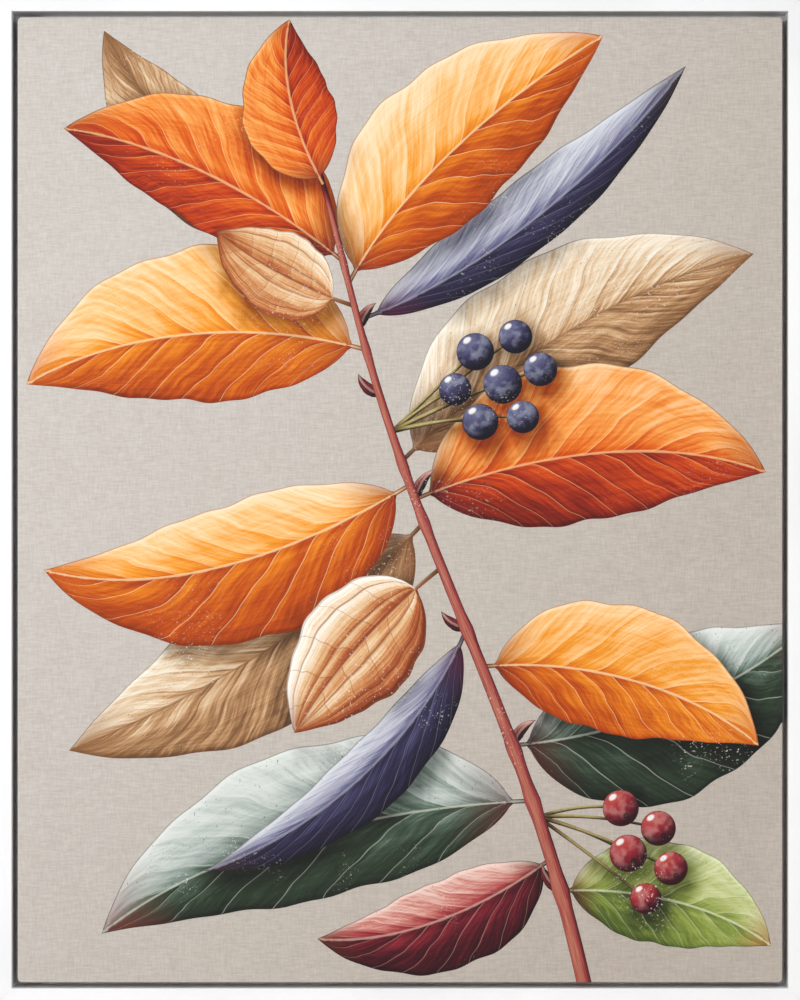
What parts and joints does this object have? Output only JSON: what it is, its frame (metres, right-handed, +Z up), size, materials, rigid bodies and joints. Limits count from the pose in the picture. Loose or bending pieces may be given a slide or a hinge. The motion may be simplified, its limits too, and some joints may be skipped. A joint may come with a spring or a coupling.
{
  "type": "framed canvas picture",
  "caption": "Upright rectangular canvas print on wooden stretcher bars, set in a thin white floater frame with a shadow gap, and hung by a sawtooth hanger.",
  "frame": {"origin": "the middle notch of the sawtooth hanger, in the wall plane that the bumpers touch", "axes": "+X to the right as seen from the front, +Y into the wall, +Z up; the print faces -Y"},
  "size_m": [0.638, 0.043, 0.798],
  "materials": {
    "frame_paint": "white satin lacquer on wood",
    "bar_pine": "planed bare pine",
    "canvas_cloth": "printed matte canvas",
    "zinc_steel": "bright zinc plating",
    "staple_wire": "galvanised wire",
    "bumper_rubber": "soft matte"
  },
  "bodies": {
    "root": {"bar_corner_staple_1": "staple_wire", "bar_corner_staple_2": "staple_wire", "bar_corner_staple_3": "staple_wire", "bar_corner_staple_4": "staple_wire", "bumper_bottom_left": "bumper_rubber", "bumper_bottom_right": "bumper_rubber", "bumper_top_left": "bumper_rubber", "bumper_top_right": "bumper_rubber", "canvas": "canvas_cloth", "canvas_staple_bottom_1": "staple_wire", "canvas_staple_bottom_2": "staple_wire", "canvas_staple_bottom_3": "staple_wire", "canvas_staple_bottom_4": "staple_wire", "canvas_staple_bottom_5": "staple_wire", "canvas_staple_bottom_6": "staple_wire", "canvas_staple_left_1": "staple_wire", "canvas_staple_left_2": "staple_wire", "canvas_staple_left_3": "staple_wire", "canvas_staple_left_4": "staple_wire", "canvas_staple_left_5": "staple_wire", "canvas_staple_left_6": "staple_wire", "canvas_staple_left_7": "staple_wire", "canvas_staple_left_8": "staple_wire", "canvas_staple_right_1": "staple_wire", "canvas_staple_right_2": "staple_wire", "canvas_staple_right_3": "staple_wire", "canvas_staple_right_4": "staple_wire", "canvas_staple_right_5": "staple_wire", "canvas_staple_right_6": "staple_wire", "canvas_staple_right_7": "staple_wire", "canvas_staple_right_8": "staple_wire", "canvas_staple_top_1": "staple_wire", "canvas_staple_top_2": "staple_wire", "canvas_staple_top_3": "staple_wire", "canvas_staple_top_4": "staple_wire", "canvas_staple_top_5": "staple_wire", "canvas_staple_top_6": "staple_wire", "fixing_screw_bottom_1": "zinc_steel", "fixing_screw_bottom_2": "zinc_steel", "fixing_screw_left_1": "zinc_steel", "fixing_screw_left_2": "zinc_steel", "fixing_screw_right_1": "zinc_steel", "fixing_screw_right_2": "zinc_steel", "fixing_screw_top_1": "zinc_steel", "fixing_screw_top_2": "zinc_steel", "frame_corner_nail_1": "zinc_steel", "frame_corner_nail_2": "zinc_steel", "frame_corner_nail_3": "zinc_steel", "frame_corner_nail_4": "zinc_steel", "frame_rail_bottom": "frame_paint", "frame_rail_left": "frame_paint", "frame_rail_right": "frame_paint", "frame_rail_top": "frame_paint", "hanger_nail_left": "zinc_steel", "hanger_nail_right": "zinc_steel", "sawtooth_hanger": "zinc_steel", "stretcher_bar_bottom": "bar_pine", "stretcher_bar_left": "bar_pine", "stretcher_bar_right": "bar_pine", "stretcher_bar_top": "bar_pine"}
  },
  "joints": []
}
